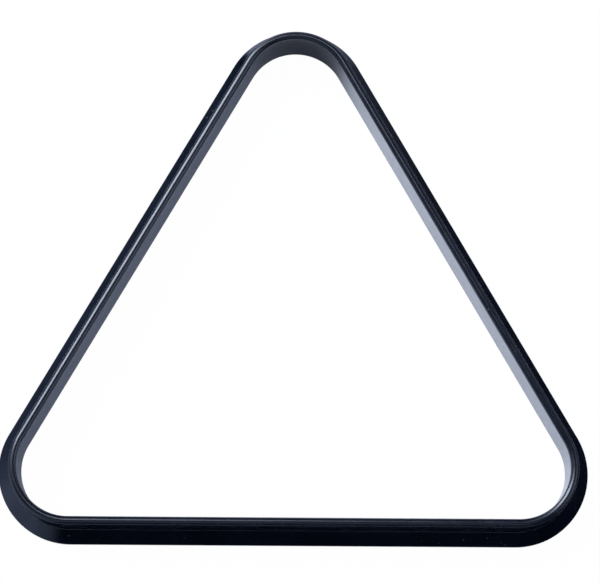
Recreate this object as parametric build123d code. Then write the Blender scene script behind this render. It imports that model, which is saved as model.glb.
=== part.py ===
"""Triangle rack for a set of fifteen pool balls.

The rack is one plastic moulding. A plain upright wall faces the balls. Its crest is rounded
towards them and bevelled down to a crisp shoulder on the outside, and a sloping foot spreads
from its base on the table. The foot is hollow and open underneath, with thin cross ribs that
tie its skin to the wall.

Frame: +Z up, the rack lies on the table at z = 0 and its apex points along +Y.
The origin is on the table, at the middle of the rack's overall width and depth.
"""
import os
from math import cos, radians, sqrt, tan

from build123d import *

# Driving dimensions, in millimetres and degrees.
ball_diameter = 57.15        # a standard pool ball
ball_rows = 5                # one ball at the apex, five along the front
ball_clearance = 0.7         # room between the outer balls and each wall

inner_corner_radius = 27.15  # of the upright wall, round each corner
rack_height = 30.5
base_width = 12.2            # across the foot, from the upright wall outwards
crest_width = 4.4            # across the wall at the shoulder
inner_edge_radius = 2.2      # along the crest, above the balls
bevel_slope = 38.0           # fall of the crest's bevel from the level
bevel_drop = 1.1             # from the top of the crest down to the shoulder
ridge_radius = 0.9           # between the top of the crest and its bevel
shoulder_radius = 0.3        # between the bevel and the outer wall
wall_draft = 1.0             # lean of the outer wall, so that it leaves the mould
cove_radius = 0.4            # between the outer wall and the foot
foot_slope = 52.0            # lean of the foot's top face off the vertical
foot_height = 1.2            # upright band round the outside of the foot
foot_edge_radius = 0.6       # above that band

wall_skin = 2.6              # wall between the balls and the hollow
foot_skin = 1.8              # foot between the hollow and its top face
hollow_tip_width = 2.0       # width left at the top of the hollow
hollow_tip_radius = 0.8      # rounds the top of the hollow
hollow_draft = 1.0           # lean of the hollow's inner side, so that it leaves the mould

rib_thickness = 1.6
rib_pitch = 40.0             # the ribs along a side are about this far apart
corner_rib_pitch = 24.0      # and about this far apart round a corner, along its outside
rib_recess = 0.8             # the ribs stop this far above the table

sides = 3
corner_turn = 360 / sides

# What follows from them.
ball_centres_apothem = (ball_rows - 1) * ball_diameter / (2 * sqrt(3))
wall_apothem = ball_centres_apothem + ball_diameter / 2 + ball_clearance
corner_apothem = wall_apothem - inner_corner_radius
side_length = corner_apothem * 2 * sqrt(3)
foot_radius = inner_corner_radius + base_width
crest_radius = inner_corner_radius + crest_width
shoulder_height = rack_height - bevel_drop


def outer_wall(height):
    """How far out the outer wall lies at a height."""
    return crest_radius + (shoulder_height - height) * tan(radians(wall_draft))


def foot_face(height, depth=0.0):
    """How far out the foot's top face lies at a height, or the face that lies depth inside it."""
    lean = radians(foot_slope)
    return foot_radius - (height - foot_height) * tan(lean) - depth / cos(lean)


def rounded(section, corners):
    """Fillet corners of a flat section, each given as its place and its radius."""
    for place, radius in corners:
        corner = section.vertices().sort_by_distance(place)[0]
        section = fillet(corner, radius)
    return section


def moulding_section():
    """Outside of the cross-section: x runs outwards from the corner centres, y is height."""
    inner_edge = (inner_corner_radius, rack_height)
    ridge = (crest_radius - bevel_drop / tan(radians(bevel_slope)), rack_height)
    shoulder = (crest_radius, shoulder_height)
    closing = tan(radians(foot_slope)) - tan(radians(wall_draft))
    ledge_height = (foot_face(0) - outer_wall(0)) / closing
    ledge = (outer_wall(ledge_height), ledge_height)
    foot_edge = (foot_radius, foot_height)
    section = make_face(
        Polyline(
            (inner_corner_radius, 0), inner_edge, ridge, shoulder,
            ledge, foot_edge, (foot_radius, 0), close=True,
        )
    )
    corners = [
        (inner_edge, inner_edge_radius),
        (ridge, ridge_radius),
        (shoulder, shoulder_radius),
        (ledge, cove_radius),
        (foot_edge, foot_edge_radius),
    ]
    return rounded(section, corners)


def hollow_section():
    """The open hollow in the foot: wall and foot keep their own skins, and its top is rounded."""
    inner_foot = inner_corner_radius + wall_skin
    outer_foot = foot_face(0, foot_skin)
    closing = tan(radians(foot_slope)) + tan(radians(hollow_draft))
    tip_height = (outer_foot - inner_foot - hollow_tip_width) / closing
    inner_tip = (inner_foot + tip_height * tan(radians(hollow_draft)), tip_height)
    outer_tip = (foot_face(tip_height, foot_skin), tip_height)
    section = make_face(
        Polyline((inner_foot, 0), inner_tip, outer_tip, (outer_foot, 0), close=True)
    )
    return rounded(section, [(inner_tip, hollow_tip_radius), (outer_tip, hollow_tip_radius)])


def around_the_rack(section):
    """Carry a cross-section along one side and round its corner, and repeat that on every side."""
    start = Plane(
        origin=(side_length / 2, -corner_apothem, 0), x_dir=(0, -1, 0), z_dir=(-1, 0, 0)
    )
    side = extrude(start * section, side_length)
    corner_axis = Axis((-side_length / 2, -corner_apothem, 0), (0, 0, -1))
    end = start.offset(side_length)
    corner = revolve(end * section, corner_axis, corner_turn)
    third = side + corner
    ring = Part()
    for turn in range(sides):
        ring += Rot(Z=turn * corner_turn) * third
    return ring


def rib_blades():
    """Upright blades across the foot: evenly spaced along each side and round each corner."""
    blade_height = rack_height - rib_recess
    blade = Pos(0, -foot_radius / 2, rib_recess + blade_height / 2) * Box(
        rib_thickness, foot_radius, blade_height
    )
    bays = round(side_length / rib_pitch)
    corner_bays = round(foot_radius * radians(corner_turn) / corner_rib_pitch)
    third = Part()
    for bay in range(bays + 1):
        along = side_length * (bay / bays - 1 / 2)
        third += Pos(along, -corner_apothem) * blade
    for bay in range(1, corner_bays):
        turn = -corner_turn * bay / corner_bays
        third += Pos(-side_length / 2, -corner_apothem) * Rot(Z=turn) * blade
    blades = []
    for turn in range(sides):
        blades.append(Rot(Z=turn * corner_turn) * third)
    return blades


def rack_moulding():
    """The whole moulding, less its hollow, with the ribs left standing in the hollow."""
    hollow = around_the_rack(hollow_section())
    for blades in rib_blades():
        hollow -= blades
    moulding = around_the_rack(moulding_section()) - hollow
    return Pos(0, -corner_apothem / 2) * moulding


os.makedirs("parts", exist_ok=True)
rack = rack_moulding()
rack.label = "rack_moulding"
export_step(rack, "parts/rack_moulding.step")
print("rack", rack.bounding_box().size, "volume", round(rack.volume), "solids", len(rack.solids()))
print("inner side", round(side_length, 2))
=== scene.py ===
"""Triangle rack: one gloss black moulding on a plain white table, in a soft studio."""
from math import atan2, cos, hypot, pi, radians, sin, sqrt, tan

import bmesh
import bpy
from bpy.props import FloatProperty, FloatVectorProperty, IntProperty, PointerProperty
from mathutils import Matrix, Vector


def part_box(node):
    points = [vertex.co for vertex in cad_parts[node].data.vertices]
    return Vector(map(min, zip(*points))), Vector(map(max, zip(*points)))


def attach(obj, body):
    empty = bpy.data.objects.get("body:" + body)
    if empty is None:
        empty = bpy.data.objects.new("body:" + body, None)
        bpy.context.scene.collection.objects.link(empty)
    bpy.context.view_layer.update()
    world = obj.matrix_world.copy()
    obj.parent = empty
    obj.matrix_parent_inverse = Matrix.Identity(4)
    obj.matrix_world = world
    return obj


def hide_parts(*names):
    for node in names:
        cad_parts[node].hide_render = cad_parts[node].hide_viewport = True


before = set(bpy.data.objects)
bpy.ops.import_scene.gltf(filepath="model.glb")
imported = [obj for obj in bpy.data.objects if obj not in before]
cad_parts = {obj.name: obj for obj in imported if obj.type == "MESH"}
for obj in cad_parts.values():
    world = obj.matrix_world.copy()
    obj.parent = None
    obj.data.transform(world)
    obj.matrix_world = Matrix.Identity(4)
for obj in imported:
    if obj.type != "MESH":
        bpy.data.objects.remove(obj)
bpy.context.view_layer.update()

bl_info = {
    "name": "Triangle rack",
    "version": (1, 0, 0),
    "blender": (4, 5, 0),
    "location": "3D View > Sidebar > Rack",
    "description": "Builds a moulded triangle rack with its finish and a plain studio",
    "category": "Add Mesh",
}

CAD_NODE = "rack_moulding"
SIDES = 3
CORNER_TURN = 2 * pi / SIDES
MM = 0.001
TUCK = 0.01 * MM        # keeps the piece just inside the solid it stands for
MERGE = 0.01 * MM       # points nearer than this are one point
FLOOR_DROP = 0.05 * MM  # keeps the table top just under the piece
EDGE_BLEND = 0.3 * MM   # over which the outer wall's finish turns into the crest's
WALL_BLEND = 0.5 * MM   # over which the crest's finish turns into the upright wall's
CREASE = radians(40)    # edges that fold by more than this stay sharp
FLAT_WEIGHT = 80        # of 100, how far the shading of large faces wins over small ones
OUTWARDS = "out"        # point attribute: how far out from the corner centres a point lies
MIX_A, MIX_B, MIX_COLOUR = 6, 7, 2    # a colour mix node's inputs and its output

# Soft bright patches of the room: the setting that holds each one's brightness, then its turn,
# its rise and its reach in degrees.
ROOM_PATCHES = (
    ("curtain_glow", 158, 38, 30),
    ("left_glow", 208, 3, 32),
    ("side_glow", 184, 8, 24),
    ("back_glow", 165, 6, 33),
    ("front_glow", 235, 29, 22),
    ("high_glow", 272, 50, 30),
    ("right_glow", 349, 37, 26),
    ("far_glow", 24, 28, 22),
    ("low_glow", 62, 2, 25),
    ("sill_glow", 113, 2, 14),
)


# Sizes, colours and light that a user would change.

def length(name, description, millimetres):
    """A length property, given in millimetres."""
    return FloatProperty(
        name=name, description=description, default=millimetres * MM,
        min=0, precision=5, subtype="DISTANCE", unit="LENGTH",
    )


def share(name, description, value, highest=1.0):
    """A plain number from 0 up to its highest value."""
    return FloatProperty(
        name=name, description=description, default=value,
        min=0, max=highest, precision=4, subtype="FACTOR",
    )


def scale(name, description, value):
    """How fine a pattern is, in repeats a metre."""
    return FloatProperty(name=name, description=description, default=value, min=0)


def angle(name, description, turn):
    """An angle property, given in degrees."""
    return FloatProperty(
        name=name, description=description, default=radians(turn), subtype="ANGLE", unit="ROTATION",
    )


def colour(name, description, value):
    """A linear colour."""
    return FloatVectorProperty(
        name=name, description=description, default=value, size=3,
        min=0, max=1, subtype="COLOR",
    )


def glow(name, description, value):
    """Brightness of a light, where 1 is white."""
    return FloatProperty(name=name, description=description, default=value, min=0)


class RackSizes(bpy.types.PropertyGroup):
    """Sizes of the moulding. Its height and outer size come from the frame. The ridge, shoulder,
    cove and rim edge are rounded for the way they catch the light, and not as in the solid."""

    ball_diameter: length("Ball", "Diameter of a ball that the rack holds", 57.15)
    ball_rows: IntProperty(name="Rows", description="Rows of balls in the rack", default=5, min=2)
    ball_clearance: length("Clearance", "Room between the outer balls and a wall", 0.7)
    inner_corner_radius: length("Inner corner", "Radius of the upright wall round a corner", 27.15)
    crest_width: length("Crest width", "Across the wall at the shoulder", 4.4)
    inner_edge_radius: length("Inner edge", "Radius along the crest, above the balls", 2.2)
    bevel_slope: angle("Bevel slope", "Fall of the crest's bevel from the level", 38)
    bevel_drop: length("Bevel drop", "From the top of the crest down to the shoulder", 1.1)
    ridge_radius: length("Ridge", "Radius between the top of the crest and its bevel", 1.8)
    shoulder_radius: length("Shoulder", "Radius between the bevel and the outer wall", 0.22)
    wall_draft: angle("Wall draft", "Lean of the outer wall", 1)
    cove_radius: length("Cove", "Radius between the outer wall and the foot", 0.15)
    foot_slope: angle("Foot slope", "Lean of the foot's top face off the vertical", 52)
    foot_height: length("Foot height", "Upright band round the outside of the foot", 1.2)
    foot_edge_radius: length("Foot edge", "Radius above that band", 0.6)
    rim_edge_radius: length("Rim edge", "Radius of the edges that stand on the table", 0.3)
    wall_skin: length("Wall skin", "Wall between the balls and the hollow", 2.6)
    foot_skin: length("Foot skin", "Foot between the hollow and its top face", 1.8)
    hollow_tip_width: length("Hollow tip", "Width left at the top of the hollow", 2.0)
    hollow_tip_radius: length("Hollow tip radius", "Rounds the top of the hollow", 0.8)
    hollow_draft: angle("Draft", "Lean of the hollow's inner side", 1)
    rib_thickness: length("Rib", "Thickness of a cross rib", 1.6)
    rib_pitch: length("Rib pitch", "The ribs along a side are about this far apart", 40.0)
    corner_rib_pitch: length("Corner rib pitch", "Ribs round a corner, along its outside", 24.0)
    rib_recess: length("Rib recess", "The ribs stop this far above the table", 0.8)
    rib_root: length("Rib root", "How far a rib's edges run into the skins", 0.6)


class RackFinish(bpy.types.PropertyGroup):
    """Look of the black plastic."""

    body_colour: colour("Body", "Colour of the plastic", (0.0008, 0.0024, 0.0062))
    haze_colour: colour("Haze", "Colour of the faint haze on it", (0.0026, 0.0050, 0.011))
    dust_colour: colour("Dust", "Colour of dust specks and scuffs", (0.16, 0.17, 0.20))
    outer_roughness: share("Outer roughness", "Roughness of the outer wall and the foot", 0.11)
    crest_roughness: share("Crest roughness", "Roughness of the crest, where hands wear it", 0.25)
    wall_roughness: share("Wall roughness", "Roughness of the upright wall", 0.18)
    haze_scale: scale("Haze scale", "Fineness of the haze", 38)
    dust_scale: scale("Dust scale", "Fineness of the dust specks", 260)
    patch_scale: scale("Dust patches", "Fineness of the patches that hold dust", 90)
    wear_scale: scale("Wear scale", "Fineness of the uneven gloss", 120)
    ripple_scale: scale("Ripple scale", "Fineness of the ripple in the surface", 55)
    ripple_height: length("Ripple height", "Height of the ripple in the surface", 0.2)
    ripple_strength: share("Ripple strength", "How strongly the ripple shows", 0.08)


class RackStudio(bpy.types.PropertyGroup):
    """Table, light and camera. A direction is given as its height above the table's level and
    its turn from the right, seen from above."""

    floor_colour: colour("Table", "Colour of the table", (0.90, 0.90, 0.91))
    floor_size: length("Table size", "Width of the table top", 12000)
    seen_white: share("Seen white", "How far the table is lifted to white where it is seen", 0.985)
    mirrored_white: share("Mirrored white", "The same, where gloss mirrors the table", 0.04)
    mirrored_room: share("Mirrored room", "The same, where gloss mirrors the room", 0.01)
    light_distance: length("Light distance", "From the table to the window and the lamp", 5000)
    window_glow: glow("Window", "Brightness of the window behind on the left", 17.5)
    window_width: length("Window width", "Across the window", 2130)
    window_height: length("Window height", "Up the window", 3700)
    window_turn: angle("Window turn", "Direction of the window", 136)
    window_rise: angle("Window rise", "Height of the window's middle", 43)
    lamp_glow: glow("Lamp", "Brightness of the ceiling lamp", 7)
    lamp_width: length("Lamp width", "Across the ceiling lamp, which is square", 1400)
    lamp_turn: angle("Lamp turn", "Direction of the ceiling lamp", 111)
    lamp_rise: angle("Lamp rise", "Height of the ceiling lamp", 70)
    room_glow: share("Room", "Brightness of the darkest parts of the room", 0.005)
    curtain_glow: glow("Curtains", "Brightness of the curtains beside the window", 1.2)
    left_glow: glow("Left wall", "Brightness of the low wall on the left", 1.0)
    side_glow: glow("Left corner", "Brightness of the patch low on the left", 0.3)
    back_glow: glow("Back wall", "Brightness of the wall behind on the left", 0.43)
    front_glow: glow("Front", "Brightness of the patch in front on the left", 0.95)
    high_glow: glow("High front", "Brightness of the patch high in front", 0.8)
    right_glow: glow("Right", "Brightness of the patch in front on the right", 3.0)
    far_glow: glow("Far right", "Brightness of the patch behind on the right", 1.35)
    sill_glow: glow("Sill", "Brightness of the patch low beside the window", 4.0)
    low_glow: glow("Low right", "Brightness of the low wall behind on the right", 0.8)
    room_colour: colour("Room tint", "Colour of the room's light", (0.58, 0.69, 1.0))
    light_colour: colour("Light tint", "Colour of the window and the lamp", (0.78, 0.855, 1.0))
    lens: FloatProperty(
        name="Lens", description="Focal length in mm on the sensor below", default=160.08,
    )
    sensor: FloatProperty(name="Sensor", description="Width of the sensor in mm", default=36)
    camera_place: FloatVectorProperty(
        name="Camera", description="Place of the camera", size=3, precision=5,
        default=(-0.01250, -0.28223, 1.41690), subtype="TRANSLATION", unit="LENGTH",
    )
    camera_turn: FloatVectorProperty(
        name="Camera turn", description="Rotation of the camera", size=3,
        default=(radians(11.1226), radians(-0.6867), radians(0.3146)), subtype="EULER",
    )


# Geometry.

class Outline:
    """What follows from the sizes, in metres."""

    def __init__(self, sizes):
        low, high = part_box(CAD_NODE)
        self.height = high.z - low.z
        pitch_rows = (sizes.ball_rows - 1) * sizes.ball_diameter / (2 * sqrt(3))
        wall_apothem = pitch_rows + sizes.ball_diameter / 2 + sizes.ball_clearance
        self.inner = sizes.inner_corner_radius
        self.corner_apothem = wall_apothem - self.inner
        self.side = self.corner_apothem * 2 * sqrt(3)
        self.foot = high.y - 1.5 * self.corner_apothem - TUCK
        self.crest = self.inner + sizes.crest_width
        self.shoulder = self.height - sizes.bevel_drop
        self.ridge = self.crest - sizes.bevel_drop / tan(sizes.bevel_slope)
        self.slope = (self.foot, sizes.foot_height, tan(sizes.foot_slope))
        self.ledge = meeting((self.crest, self.shoulder, tan(sizes.wall_draft)), self.slope)
        self.hollow_inner = (self.inner + sizes.wall_skin, 0, -tan(sizes.hollow_draft))
        inset = sizes.foot_skin / cos(sizes.foot_slope)
        self.hollow_outer = (self.foot - inset, sizes.foot_height, tan(sizes.foot_slope))
        self.tip = meeting(self.hollow_inner, self.hollow_outer)[1]
        closing = tan(sizes.foot_slope) + tan(sizes.hollow_draft)
        self.tip -= sizes.hollow_tip_width / closing


def face_at(face, up):
    """How far out a face lies at a height. A face is a point's place, its height and its lean."""
    out, height, lean = face
    return out + (height - up) * lean


def meeting(upper, lower):
    """Where two leaning faces meet: how far out, and how high."""
    up = (face_at(lower, 0) - face_at(upper, 0)) / (lower[2] - upper[2])
    return face_at(upper, up), up


def corner_between(before, corner, after):
    """Interior angle at a corner of the section."""
    return (before.co - corner.co).angle(after.co - corner.co)


def round_corner(bm, corner, radius, segments):
    """Round one corner of the flat section with an arc of this radius."""
    ends = [edge.other_vert(corner) for edge in corner.link_edges]
    reach = radius / tan(corner_between(ends[0], corner, ends[1]) / 2)
    bmesh.ops.bevel(
        bm, geom=[corner], offset=reach, offset_type="OFFSET", affect="VERTICES",
        segments=segments, profile=0.5, material=-1, clamp_overlap=True,
    )


def section_loop(bm, sizes, shape):
    """The closed outline of the hollow section, as a wire across the start of the front side."""
    rim = sizes.rim_edge_radius
    tip = sizes.hollow_tip_radius
    # Each corner: how far out and how high it is, its radius and the segments of its arc.
    corners = [
        (shape.inner, 0, rim, 3),
        (shape.inner, shape.height, sizes.inner_edge_radius, 14),
        (shape.ridge, shape.height, sizes.ridge_radius, 10),
        (shape.crest, shape.shoulder, sizes.shoulder_radius, 6),
        (*shape.ledge, sizes.cove_radius, 6),
        (shape.foot, sizes.foot_height, sizes.foot_edge_radius, 4),
        (shape.foot, 0, rim, 3),
        (face_at(shape.hollow_outer, 0), 0, rim, 2),
        (face_at(shape.hollow_outer, shape.tip), shape.tip, tip, 5),
        (face_at(shape.hollow_inner, shape.tip), shape.tip, tip, 5),
        (face_at(shape.hollow_inner, 0), 0, rim, 2),
    ]
    start = Vector((-shape.side / 2, -shape.corner_apothem, 0))
    verts = []
    for out, up, _, _ in corners:
        verts.append(bm.verts.new(start + Vector((0, -out, up))))
    bm.faces.new(verts)
    for vert, (_, _, radius, segments) in zip(verts, corners):
        round_corner(bm, vert, radius, segments)
    bmesh.ops.delete(bm, geom=bm.faces[:], context="FACES_ONLY")
    return bm.verts[:] + bm.edges[:]


def sweep_shell(bm, sizes, shape, corner_steps=96, side_steps=16):
    """Carry the section along each side and round each corner, and close it on itself."""
    section = section_loop(bm, sizes, shape)
    for turn in range(SIDES):
        turned = Matrix.Rotation(turn * CORNER_TURN, 3, "Z")
        stride = turned @ Vector((shape.side / side_steps, 0, 0))
        side = bmesh.ops.spin(
            bm, geom=section, cent=(0, 0, 0), axis=(0, 0, 1), dvec=stride,
            angle=0, steps=side_steps, use_merge=False,
        )
        centre = turned @ Vector((shape.side / 2, -shape.corner_apothem, 0))
        corner = bmesh.ops.spin(
            bm, geom=side["geom_last"], cent=centre, axis=(0, 0, 1), dvec=(0, 0, 0),
            angle=CORNER_TURN, steps=corner_steps, use_merge=False,
        )
        section = corner["geom_last"]
    bmesh.ops.remove_doubles(bm, verts=bm.verts[:], dist=MERGE)
    bmesh.ops.recalc_face_normals(bm, faces=bm.faces[:])


def rib_blade(bm, sizes, shape):
    """One rib across the hollow at a corner centre, reaching outwards along -Y."""
    foot = sizes.rib_recess
    root = sizes.rib_root
    points = [
        (face_at(shape.hollow_inner, foot) - root, foot),
        (face_at(shape.hollow_inner, shape.tip) - root, shape.tip + root),
        (face_at(shape.hollow_outer, shape.tip) + root, shape.tip + root),
        (face_at(shape.hollow_outer, foot) + root, foot),
    ]
    half = sizes.rib_thickness / 2
    face = bm.faces.new([bm.verts.new((-half, -out, up)) for out, up in points])
    grown = bmesh.ops.extrude_face_region(bm, geom=[face], use_keep_orig=True)
    moved = [part for part in grown["geom"] if isinstance(part, bmesh.types.BMVert)]
    bmesh.ops.translate(bm, verts=moved, vec=(sizes.rib_thickness, 0, 0))
    return bm.verts[:] + bm.edges[:] + bm.faces[:]


def rib_places(sizes, shape):
    """Where the ribs of one third stand: along the front side and round its left corner."""
    bays = round(shape.side / sizes.rib_pitch)
    corner_bays = round(shape.foot * CORNER_TURN / sizes.corner_rib_pitch)
    places = []
    for bay in range(bays + 1):
        along = shape.side * (bay / bays - 1 / 2)
        places.append(Matrix.Translation((along, -shape.corner_apothem, 0)))
    corner = Matrix.Translation((-shape.side / 2, -shape.corner_apothem, 0))
    for bay in range(1, corner_bays):
        places.append(corner @ Matrix.Rotation(-CORNER_TURN * bay / corner_bays, 4, "Z"))
    return places


def fill_ribs(bm, sizes, shape):
    """Every rib of the rack."""
    blade = rib_blade(bm, sizes, shape)
    for turn in range(SIDES):
        turned = Matrix.Rotation(turn * CORNER_TURN, 4, "Z")
        for place in rib_places(sizes, shape):
            copy = bmesh.ops.duplicate(bm, geom=blade)["geom"]
            verts = [part for part in copy if isinstance(part, bmesh.types.BMVert)]
            bmesh.ops.transform(bm, matrix=turned @ place, verts=verts)
    bmesh.ops.delete(bm, geom=[part for part in blade if isinstance(part, bmesh.types.BMVert)])
    bmesh.ops.recalc_face_normals(bm, faces=bm.faces[:])


def mesh_object(name, bm, centre):
    """A new object from a bmesh whose rack centre is moved to its place in the frame."""
    bmesh.ops.translate(bm, verts=bm.verts[:], vec=centre)
    mesh = bpy.data.meshes.new(name)
    bm.to_mesh(mesh)
    bm.free()
    made = bpy.data.objects.new(name, mesh)
    bpy.context.scene.collection.objects.link(made)
    return made


def apply_modifiers(made):
    """Put the result of the object's modifiers into its mesh."""
    graph = bpy.context.evaluated_depsgraph_get()
    result = bpy.data.meshes.new_from_object(made.evaluated_get(graph))
    made.modifiers.clear()
    made.data = result


def mark_surface(made, shape, centre):
    """Store how far out from the corner centres each point lies."""
    mesh = made.data
    out = mesh.attributes.new(OUTWARDS, "FLOAT", "POINT")
    for vert in mesh.vertices:
        flat = (vert.co - centre).to_2d()
        front = (atan2(flat.y, flat.x) + pi / 2 + CORNER_TURN / 2) % (2 * pi)
        turn = int(front // CORNER_TURN)
        flat.rotate(Matrix.Rotation(-turn * CORNER_TURN, 2))
        past = max(abs(flat.x) - shape.side / 2, 0)
        drop = -flat.y - shape.corner_apothem
        out.data[vert.index].value = hypot(past, drop) if past else drop


def shade(made):
    """Smooth shading that stays sharp at creases, with flats kept flat."""
    mesh = made.data
    for face in mesh.polygons:
        face.use_smooth = True
    bm = bmesh.new()
    bm.from_mesh(mesh)
    for edge in bm.edges:
        edge.smooth = edge.calc_face_angle(0) < CREASE
    bm.to_mesh(mesh)
    bm.free()
    flats = made.modifiers.new("flats", "WEIGHTED_NORMAL")
    flats.keep_sharp = True
    flats.weight = FLAT_WEIGHT


# Finish.

def link(tree, source, output, target, name):
    """Join two node sockets."""
    tree.links.new(source.outputs[output], target.inputs[name])


def node(tree, kind, **inputs):
    """A node with some of its inputs set. Spaces in an input's name are given as underscores."""
    made = tree.nodes.new(kind)
    for name, value in inputs.items():
        made.inputs[name.replace("_", " ")].default_value = value
    return made


def plain_colour(value):
    """A colour with its alpha."""
    return (*value, 1.0)


def colour_mix(tree, share_node, share_output):
    """A node that blends two colours by another node's output."""
    mix = tree.nodes.new("ShaderNodeMix")
    mix.data_type = "RGBA"
    link(tree, share_node, share_output, mix, "Factor")
    return mix


def math_node(tree, operation, *sources):
    """A node that works on other nodes' outputs. Each source is a node and its output."""
    made = tree.nodes.new("ShaderNodeMath")
    made.operation = operation
    for place, (source, output) in enumerate(sources):
        link(tree, source, output, made, place)
    return made


def hazy_plastic(tree, place, finish):
    """The plastic's colour, with a faint haze on it."""
    haze = node(tree, "ShaderNodeTexNoise", Scale=finish.haze_scale, Detail=5.0, Roughness=0.6)
    link(tree, place, "Object", haze, "Vector")
    span = node(tree, "ShaderNodeMapRange", From_Min=0.4, From_Max=0.75)
    link(tree, haze, "Fac", span, "Value")
    body = colour_mix(tree, span, "Result")
    body.inputs[MIX_A].default_value = plain_colour(finish.body_colour)
    body.inputs[MIX_B].default_value = plain_colour(finish.haze_colour)
    return body


def dusted(tree, place, finish, body):
    """A colour with a few specks of dust on it, which lie in patches."""
    specks = node(tree, "ShaderNodeTexVoronoi", Scale=finish.dust_scale, Randomness=1.0)
    link(tree, place, "Object", specks, "Vector")
    speck_span = node(tree, "ShaderNodeMapRange", From_Min=0.16, From_Max=0.06)
    link(tree, specks, "Distance", speck_span, "Value")
    patches = node(tree, "ShaderNodeTexNoise", Scale=finish.patch_scale, Detail=2.0)
    link(tree, place, "Object", patches, "Vector")
    patch_span = node(tree, "ShaderNodeMapRange", From_Min=0.60, From_Max=0.72)
    link(tree, patches, "Fac", patch_span, "Value")
    dust = math_node(tree, "MULTIPLY", (speck_span, "Result"), (patch_span, "Result"))
    dusty = colour_mix(tree, dust, "Value")
    link(tree, body, MIX_COLOUR, dusty, MIX_A)
    dusty.inputs[MIX_B].default_value = plain_colour(finish.dust_colour)
    return dusty


def worn_roughness(tree, place, finish, shape):
    """Roughness: its own on the outside, on the crest and on the upright wall, and uneven."""
    reach = tree.nodes.new("ShaderNodeAttribute")
    reach.attribute_name = OUTWARDS
    crest = node(
        tree, "ShaderNodeMapRange", From_Min=shape.crest, From_Max=shape.crest - EDGE_BLEND,
        To_Min=finish.outer_roughness, To_Max=finish.crest_roughness,
    )
    link(tree, reach, "Fac", crest, "Value")
    wall = node(
        tree, "ShaderNodeMapRange", From_Min=shape.inner + WALL_BLEND, From_Max=shape.inner,
        To_Max=finish.wall_roughness,
    )
    link(tree, crest, "Result", wall, "To Min")
    link(tree, reach, "Fac", wall, "Value")
    wear = node(tree, "ShaderNodeTexNoise", Scale=finish.wear_scale, Detail=6.0, Roughness=0.65)
    link(tree, place, "Object", wear, "Vector")
    uneven = node(
        tree, "ShaderNodeMapRange", From_Min=0.3, From_Max=0.8, To_Min=0.85, To_Max=1.3,
    )
    link(tree, wear, "Fac", uneven, "Value")
    return math_node(tree, "MULTIPLY", (wall, "Result"), (uneven, "Result"))


def rippled(tree, place, finish):
    """The moulding's faint ripple."""
    ripple = node(tree, "ShaderNodeTexNoise", Scale=finish.ripple_scale, Detail=2.0, Roughness=0.4)
    link(tree, place, "Object", ripple, "Vector")
    bump = node(
        tree, "ShaderNodeBump", Strength=finish.ripple_strength, Distance=finish.ripple_height,
    )
    link(tree, ripple, "Fac", bump, "Height")
    return bump


def black_plastic(finish, shape):
    """Dark moulded plastic with haze, a faint ripple and a few specks of dust."""
    material = bpy.data.materials.new("gloss_black")
    material.use_nodes = True
    tree = material.node_tree
    surface = tree.nodes["Principled BSDF"]
    surface.inputs["IOR"].default_value = 1.5
    place = tree.nodes.new("ShaderNodeTexCoord")
    body = hazy_plastic(tree, place, finish)
    link(tree, dusted(tree, place, finish, body), MIX_COLOUR, surface, "Base Color")
    link(tree, worn_roughness(tree, place, finish, shape), "Value", surface, "Roughness")
    link(tree, rippled(tree, place, finish), "Normal", surface, "Normal")
    return material


def paint_rack(made, finish, shape):
    """Give the whole moulding its one plastic."""
    made.data.materials.clear()
    made.data.materials.append(black_plastic(finish, shape))


# Stage.

def white_share(tree, seen_white, mirrored_white):
    """How far a background is lifted to white: where it is seen, and where gloss mirrors it."""
    rays = tree.nodes.new("ShaderNodeLightPath")
    seen = math_node(
        tree, "MAXIMUM", (rays, "Is Camera Ray"), (rays, "Is Transmission Ray"),
    )
    lifted = math_node(tree, "MULTIPLY", (seen, "Value"))
    lifted.inputs[1].default_value = seen_white
    mirrored = math_node(tree, "MULTIPLY_ADD", (rays, "Is Glossy Ray"))
    mirrored.inputs[1].default_value = mirrored_white
    link(tree, lifted, "Value", mirrored, 2)
    return mirrored


def lifted_to_white(tree, shader, white_kind, output_kind, seen_white, mirrored_white):
    """Finish a material or world: its shader, lifted towards white by white_share."""
    white = node(tree, white_kind, Color=(1, 1, 1, 1), Strength=1.0)
    mix = tree.nodes.new("ShaderNodeMixShader")
    link(tree, white_share(tree, seen_white, mirrored_white), "Value", mix, 0)
    link(tree, shader, 0, mix, 1)
    link(tree, white, 0, mix, 2)
    output = tree.nodes.new(output_kind)
    link(tree, mix, 0, output, "Surface")


def floor_material(studio):
    """White table top: it keeps the rack's shadow and is lifted towards white where it is seen."""
    material = bpy.data.materials.new("table_top")
    material.use_nodes = True
    tree = material.node_tree
    tree.nodes.clear()
    paper = node(tree, "ShaderNodeBsdfDiffuse", Color=plain_colour(studio.floor_colour))
    lifted_to_white(
        tree, paper, "ShaderNodeEmission", "ShaderNodeOutputMaterial",
        studio.seen_white, studio.mirrored_white,
    )
    return material


def lay_floor(studio):
    """The table top, just under the rack."""
    bm = bmesh.new()
    bmesh.ops.create_grid(bm, x_segments=1, y_segments=1, size=studio.floor_size / 2)
    floor = mesh_object("table_top", bm, (0, 0, -FLOOR_DROP))
    floor.data.materials.append(floor_material(studio))


def hang_light(name, glow, tint, width, height, distance, turn, rise):
    """An area light of an even brightness, aimed at the rack."""
    lamp = bpy.data.lights.new(name, "AREA")
    lamp.shape = "RECTANGLE"
    lamp.size = width
    lamp.size_y = height
    lamp.color = tint
    lamp.energy = glow * pi * width * height
    made = bpy.data.objects.new(name, lamp)
    towards = direction(turn, rise)
    made.location = towards * distance
    made.rotation_euler = towards.to_track_quat("Z", "Y").to_euler()
    bpy.context.scene.collection.objects.link(made)


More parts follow.
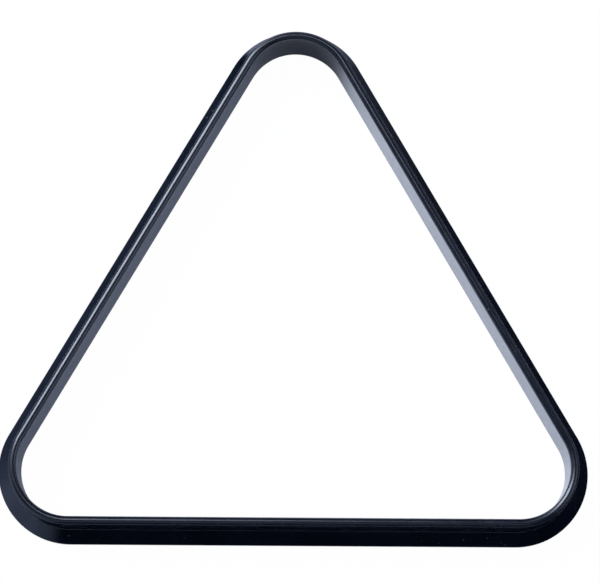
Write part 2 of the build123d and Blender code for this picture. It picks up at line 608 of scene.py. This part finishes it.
def direction(turn, rise):
    """Where a turn and a rise point."""
    return Vector((cos(rise) * cos(turn), cos(rise) * sin(turn), sin(rise)))


def wall_patch(tree, place, total, strength, turn, rise, reach):
    """Add a soft bright patch of wall to the room's brightness, which is a node. Its place is in
    degrees."""
    near = node(tree, "ShaderNodeVectorMath")
    near.operation = "DOT_PRODUCT"
    near.inputs[1].default_value = direction(radians(turn), radians(rise))
    link(tree, place, "Generated", near, 0)
    patch = node(tree, "ShaderNodeMapRange", From_Min=cos(radians(reach)), To_Max=strength)
    patch.interpolation_type = "SMOOTHSTEP"
    link(tree, near, "Value", patch, "Value")
    return math_node(tree, "ADD", (total, "Value"), (patch, "Result"))


def light_room(studio):
    """A dim room with soft bright patches, and white where it is seen."""
    world = bpy.data.worlds.new("room")
    bpy.context.scene.world = world
    world.use_nodes = True
    tree = world.node_tree
    tree.nodes.clear()
    place = tree.nodes.new("ShaderNodeTexCoord")
    total = tree.nodes.new("ShaderNodeValue")
    total.outputs[0].default_value = studio.room_glow
    for name, turn, rise, reach in ROOM_PATCHES:
        total = wall_patch(tree, place, total, getattr(studio, name), turn, rise, reach)
    room = node(tree, "ShaderNodeBackground", Color=plain_colour(studio.room_colour))
    link(tree, total, "Value", room, "Strength")
    lifted_to_white(
        tree, room, "ShaderNodeBackground", "ShaderNodeOutputWorld", 1.0, studio.mirrored_room,
    )


def place_camera(studio):
    """A long lens above the front of the rack, tipped a little towards its apex."""
    camera = bpy.data.cameras.new("camera")
    camera.lens = studio.lens
    camera.sensor_width = studio.sensor
    made = bpy.data.objects.new("camera", camera)
    made.location = studio.camera_place
    made.rotation_euler = studio.camera_turn
    bpy.context.scene.collection.objects.link(made)
    bpy.context.scene.camera = made


# Operators.

class RACK_OT_moulding(bpy.types.Operator):
    """Build the rack's one moulding, with its hollow, its ribs and its finish"""

    bl_idname = "rack.moulding"
    bl_label = "Rack moulding"

    def execute(self, context):
        sizes = context.scene.rack_sizes
        finish = context.scene.rack_finish
        shape = Outline(sizes)
        centre = Vector((0, -shape.corner_apothem / 2, 0))
        bm = bmesh.new()
        sweep_shell(bm, sizes, shape)
        rack = mesh_object("moulded_rack", bm, centre)
        bm = bmesh.new()
        fill_ribs(bm, sizes, shape)
        ribs = mesh_object("ribs", bm, centre)
        join = rack.modifiers.new("ribs", "BOOLEAN")
        join.operation = "UNION"
        join.solver = "EXACT"
        join.object = ribs
        apply_modifiers(rack)
        bpy.data.objects.remove(ribs)
        mark_surface(rack, shape, centre)
        paint_rack(rack, finish, shape)
        shade(rack)
        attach(rack, "root")
        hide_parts(CAD_NODE)
        return {"FINISHED"}


class RACK_OT_studio(bpy.types.Operator):
    """Lay the table top, hang the lights and set the camera"""

    bl_idname = "rack.studio"
    bl_label = "Studio"

    def execute(self, context):
        studio = context.scene.rack_studio
        lay_floor(studio)
        light_room(studio)
        hang_light(
            "window", studio.window_glow, studio.light_colour, studio.window_width,
            studio.window_height, studio.light_distance, studio.window_turn, studio.window_rise,
        )
        hang_light(
            "lamp", studio.lamp_glow, studio.light_colour, studio.lamp_width,
            studio.lamp_width, studio.light_distance, studio.lamp_turn, studio.lamp_rise,
        )
        place_camera(studio)
        context.scene.view_settings.view_transform = "Standard"
        return {"FINISHED"}


class RACK_PT_panel(bpy.types.Panel):
    """The rack's sizes, finish and studio"""

    bl_idname = "RACK_PT_panel"
    bl_label = "Triangle rack"
    bl_space_type = "VIEW_3D"
    bl_region_type = "UI"
    bl_category = "Rack"

    def draw(self, context):
        layout = self.layout
        groups = (context.scene.rack_sizes, context.scene.rack_finish, context.scene.rack_studio)
        for group in groups:
            box = layout.box()
            for name in group.__annotations__:
                box.prop(group, name)
        layout.operator(RACK_OT_moulding.bl_idname)
        layout.operator(RACK_OT_studio.bl_idname)


CLASSES = (RackSizes, RackFinish, RackStudio, RACK_OT_moulding, RACK_OT_studio, RACK_PT_panel)


def register():
    """Add the classes, and put their settings on the scene."""
    for cls in CLASSES:
        bpy.utils.register_class(cls)
    bpy.types.Scene.rack_sizes = PointerProperty(type=RackSizes)
    bpy.types.Scene.rack_finish = PointerProperty(type=RackFinish)
    bpy.types.Scene.rack_studio = PointerProperty(type=RackStudio)


def unregister():
    """Take away what register() added."""
    del bpy.types.Scene.rack_studio
    del bpy.types.Scene.rack_finish
    del bpy.types.Scene.rack_sizes
    for cls in reversed(CLASSES):
        bpy.utils.unregister_class(cls)


def main():
    """Build the rack and its studio."""
    register()
    bpy.ops.rack.moulding()
    bpy.ops.rack.studio()


if __name__ == "__main__":
    main()
